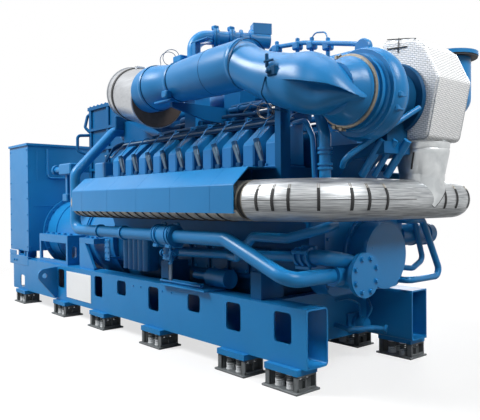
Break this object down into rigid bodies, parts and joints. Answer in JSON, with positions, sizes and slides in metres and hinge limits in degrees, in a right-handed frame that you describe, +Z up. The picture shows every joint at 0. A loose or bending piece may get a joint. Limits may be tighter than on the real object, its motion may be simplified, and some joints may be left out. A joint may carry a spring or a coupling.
{
  "type": "gas generator set",
  "caption": "Stationary gas generator set: a V engine with turbocharger and an alternator on a steel frame with spring isolators, for making power on site.",
  "frame": {"origin": "on the floor, at the middle of the set's length and width", "axes": "+X towards the engine's free end with the turbocharger, -Y the near side of the picture, +Z up"},
  "size_m": [6.43, 2.224, 3.12],
  "materials": {
    "blue_paint": "semi-gloss paint",
    "foil_insulation": "quilted foil",
    "bare_steel": "satin",
    "dark_iron": "dark coated"
  },
  "bodies": {
    "root": {"near_rail": "blue_paint", "far_rail": "blue_paint", "cross_members": "blue_paint", "lifting_lugs": "blue_paint", "isolator_pads": "blue_paint", "alternator_cabinet": "blue_paint", "alternator_lid": "blue_paint", "cabinet_posts": "blue_paint", "alternator_drum": "blue_paint", "alternator_foot_frames": "blue_paint", "coupling_housing": "blue_paint", "flywheel_housing": "blue_paint", "flywheel_gussets": "blue_paint", "crankcase": "blue_paint", "oil_pan": "blue_paint", "engine_feet": "blue_paint", "gear_case": "blue_paint", "damper_housing": "blue_paint", "near_cylinder_heads": "blue_paint", "far_cylinder_heads": "blue_paint", "near_rocker_covers": "blue_paint", "far_rocker_covers": "blue_paint", "mixture_plenum": "blue_paint", "cable_trays": "blue_paint", "near_exhaust_casing": "blue_paint", "far_exhaust_casing": "blue_paint", "outlet_stub": "blue_paint", "turbo_console": "blue_paint", "bearing_housing": "blue_paint", "compressor_volute": "blue_paint", "charge_pipe": "blue_paint", "intake_duct": "blue_paint", "inlet_casing": "blue_paint", "duct_supports": "blue_paint", "gas_mixer": "blue_paint", "gas_pipe": "blue_paint", "gas_valve": "blue_paint", "mixture_cooler": "blue_paint", "near_water_pipe": "blue_paint", "water_pump": "blue_paint", "pump_cover": "blue_paint", "oil_filter_block": "blue_paint", "starter_motor": "blue_paint", "front_loop_pipe": "blue_paint", "far_motor": "blue_paint", "near_exhaust_manifold": "foil_insulation", "far_exhaust_manifold": "foil_insulation", "exhaust_crossover": "foil_insulation", "turbine_hood": "foil_insulation", "compressor_clamp": "bare_steel", "intake_sleeve": "bare_steel", "isolator_springs": "bare_steel", "isolator_bases": "dark_iron"}
  },
  "joints": []
}
